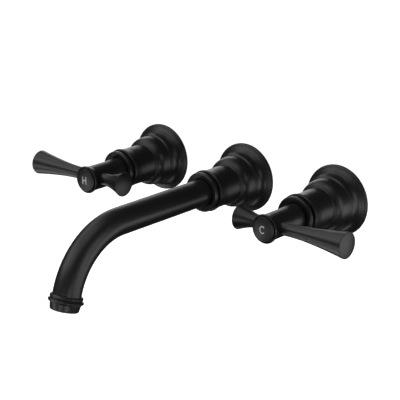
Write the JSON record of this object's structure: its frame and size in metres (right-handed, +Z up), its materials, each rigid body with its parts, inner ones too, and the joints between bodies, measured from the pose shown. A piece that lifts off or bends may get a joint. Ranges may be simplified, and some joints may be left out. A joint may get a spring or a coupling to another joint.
{
  "type": "wall mounted bath faucet",
  "caption": "Wall mounted bath faucet with a long bent spout and lever handles on bell-shaped escutcheons, in matte black.",
  "frame": {"origin": "centre of the spout escutcheon on the finished wall", "axes": "+X to the cold side (right, seen facing the wall), +Y into the wall, +Z up"},
  "size_m": [0.3506, 0.2597, 0.094],
  "materials": {
    "matte_black": "fine matte black coating",
    "brass": "turned brass",
    "steel": "plain stainless steel",
    "ceramic": "lapped ceramic",
    "rubber": "moulded rubber",
    "foam": "closed-cell foam",
    "plastic": "moulded plastic",
    "index_fill": "pale enamel fill"
  },
  "bodies": {
    "fixed": {"hot_gasket": "foam", "hot_flange": "matte_black", "hot_bell": "matte_black", "hot_collar": "matte_black", "hot_valve_body": "brass", "hot_inlet_seal": "rubber", "hot_fixed_disc": "ceramic", "hot_cartridge_shell": "brass", "hot_o_ring": "rubber", "hot_bonnet_nut": "brass", "cold_gasket": "foam", "cold_flange": "matte_black", "cold_bell": "matte_black", "cold_collar": "matte_black", "cold_valve_body": "brass", "cold_inlet_seal": "rubber", "cold_fixed_disc": "ceramic", "cold_cartridge_shell": "brass", "cold_o_ring": "rubber", "cold_bonnet_nut": "brass", "spout_gasket": "foam", "spout_flange": "matte_black", "spout_bell": "matte_black", "spout_collar": "matte_black", "spout_nipple": "brass", "spout_rear_o_ring": "rubber", "spout_front_o_ring": "rubber", "spout_bushing": "brass", "spout_tube": "matte_black", "spout_set_screw": "steel", "spout_tip_ring": "matte_black", "spout_aerator_washer": "rubber", "spout_aerator_housing": "matte_black", "spout_aerator_insert": "plastic", "spout_aerator_grid": "plastic"},
    "hot_lever": {"hot_spindle": "brass", "hot_turning_disc": "ceramic", "hot_hub": "matte_black", "hot_long_arm": "matte_black", "hot_short_arm": "matte_black", "hot_handle_screw": "steel", "hot_index_button": "matte_black", "hot_index_letter": "index_fill"},
    "cold_lever": {"cold_spindle": "brass", "cold_turning_disc": "ceramic", "cold_hub": "matte_black", "cold_long_arm": "matte_black", "cold_short_arm": "matte_black", "cold_handle_screw": "steel", "cold_index_button": "matte_black", "cold_index_letter": "index_fill"}
  },
  "joints": [
    {"name": "hot_lever_turn", "type": "hinge", "parent": "fixed", "child": "hot_lever", "pos_m": [-0.1016, -0.0911, 0], "axis": [0, -1, 0], "range_deg": [0, 90]},
    {"name": "cold_lever_turn", "type": "hinge", "parent": "fixed", "child": "cold_lever", "pos_m": [0.1016, -0.0911, 0], "axis": [0, 1, 0], "range_deg": [0, 90]}
  ]
}
